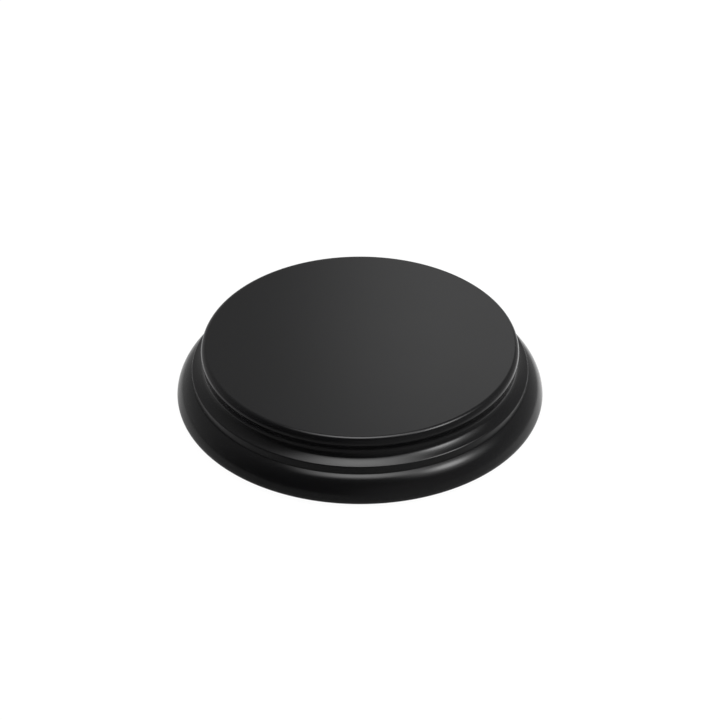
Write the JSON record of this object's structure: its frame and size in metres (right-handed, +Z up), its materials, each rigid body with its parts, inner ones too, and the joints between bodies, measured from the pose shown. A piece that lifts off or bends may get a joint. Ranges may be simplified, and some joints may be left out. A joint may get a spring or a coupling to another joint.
{
  "type": "round display base",
  "caption": "Low round turned wooden display base with a flat top, a moulded edge in satin black lacquer and a felt pad let into its underside.",
  "frame": {"origin": "centre of the underside, on the surface that the base stands on", "axes": "+Z up along the axis of the turning; the base is round, so X and Y are any two level directions"},
  "size_m": [0.15, 0.15, 0.0284],
  "materials": {
    "lacquered_wood": "black satin lacquer sprayed over turned hardwood",
    "felt": "pressed black wool felt"
  },
  "bodies": {
    "root": {"turned_body": "lacquered_wood", "felt_pad": "felt"}
  },
  "joints": []
}
